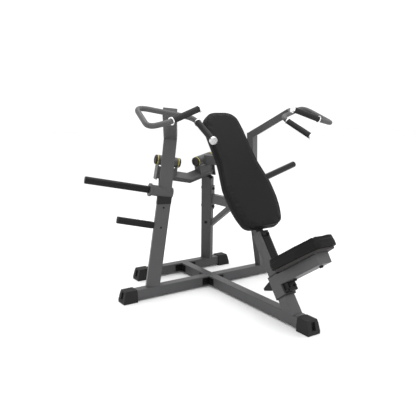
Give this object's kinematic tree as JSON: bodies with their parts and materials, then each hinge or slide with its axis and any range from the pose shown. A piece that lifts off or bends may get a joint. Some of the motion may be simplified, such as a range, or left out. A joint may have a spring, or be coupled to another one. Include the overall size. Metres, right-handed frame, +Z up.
{
  "type": "chest press machine",
  "caption": "Plate-loaded incline press frame with independent lever arms, reclined backrest and a seat sliding on a raked rail.",
  "frame": {"origin": "floor level under the middle of the bounding box, arms at rest and seat at mid travel", "axes": "+X to the right seen from behind, along the longest extent; -Y the way the user faces; +Z up"},
  "size_m": [1.8544, 1.6437, 1.3405],
  "materials": {
    "powder_coat": "satin anthracite powder coat",
    "black_steel": "satin black paint",
    "black_rubber": "matt moulded rubber",
    "black_plastic": "fine-grained moulding",
    "bright_steel": "ground steel",
    "yellow_plastic": "smooth yellow plastic",
    "black_vinyl": "grained black vinyl upholstery",
    "plywood": "black stained plywood",
    "bright_aluminium": "bright turned aluminium"
  },
  "bodies": {
    "frame": {"main_beam": "powder_coat", "rear_crossbeam": "powder_coat", "front_crossbeam_left": "powder_coat", "front_crossbeam_right": "powder_coat", "corner_brackets": "black_steel", "base_bolts": "black_steel", "front_shoe": "black_rubber", "side_shoes": "black_rubber", "leg_left": "powder_coat", "leg_right": "powder_coat", "rest_bumpers": "black_rubber", "frame_bolts": "black_steel", "storage_horn_left": "black_steel", "storage_horn_right": "black_steel", "storage_caps": "black_plastic", "column_left": "powder_coat", "column_right": "powder_coat", "crossbar_left": "powder_coat", "crossbar_right": "powder_coat", "pivot_ears_left": "powder_coat", "pivot_ears_right": "powder_coat", "pivot_shafts": "bright_steel", "pivot_rings": "yellow_plastic", "pivot_caps": "black_plastic", "support_beam": "powder_coat", "support_brace": "powder_coat", "support_strut": "powder_coat", "seat_rail": "powder_coat", "rail_rack": "black_steel", "back_frame": "powder_coat", "back_board": "plywood", "back_pad": "black_vinyl"},
    "carriage": {"seat_carriage": "powder_coat", "carriage_bushes": "black_plastic", "carriage_block": "black_steel", "seat_support": "powder_coat", "seat_board": "plywood", "seat_pad": "black_vinyl", "seat_bumpers": "black_rubber"},
    "lever": {"pin_lever": "black_steel"},
    "left_arm": {"arm_upright_left": "powder_coat", "press_tube_left": "powder_coat", "link_tube_left": "powder_coat", "pivot_tube_left": "powder_coat", "pivot_bearings_left": "bright_steel", "horn_socket_left": "powder_coat", "weight_horn_left": "black_steel", "handle_bar_left": "powder_coat", "hand_grips_left": "black_rubber", "grip_caps_left": "bright_aluminium"},
    "right_arm": {"arm_upright_right": "powder_coat", "press_tube_right": "powder_coat", "link_tube_right": "powder_coat", "pivot_tube_right": "powder_coat", "pivot_bearings_right": "bright_steel", "horn_socket_right": "powder_coat", "weight_horn_right": "black_steel", "handle_bar_right": "powder_coat", "hand_grips_right": "black_rubber", "grip_caps_right": "bright_aluminium"}
  },
  "joints": [
    {"name": "right_arm_pivot", "type": "hinge", "parent": "frame", "child": "right_arm", "pos_m": [0.1634, 0.7174, 0.9225], "axis": [-0.9472, -0.2662, -0.1788], "range_deg": [0, 40]},
    {"name": "left_arm_pivot", "type": "hinge", "parent": "frame", "child": "left_arm", "pos_m": [-0.1634, 0.7174, 0.9225], "axis": [-0.9472, 0.2662, 0.1788], "range_deg": [0, 40]},
    {"name": "seat_slide", "type": "slide", "parent": "frame", "child": "carriage", "axis": [0, 0.6018, 0.7986], "range_m": [-0.04, 0.12]},
    {"name": "lever_pull", "type": "slide", "parent": "carriage", "child": "lever", "axis": [0, 0.7986, -0.6018], "range_m": [0, 0.012], "stiffness_N_per_m": 1500, "springref_m": -0.008}
  ]
}
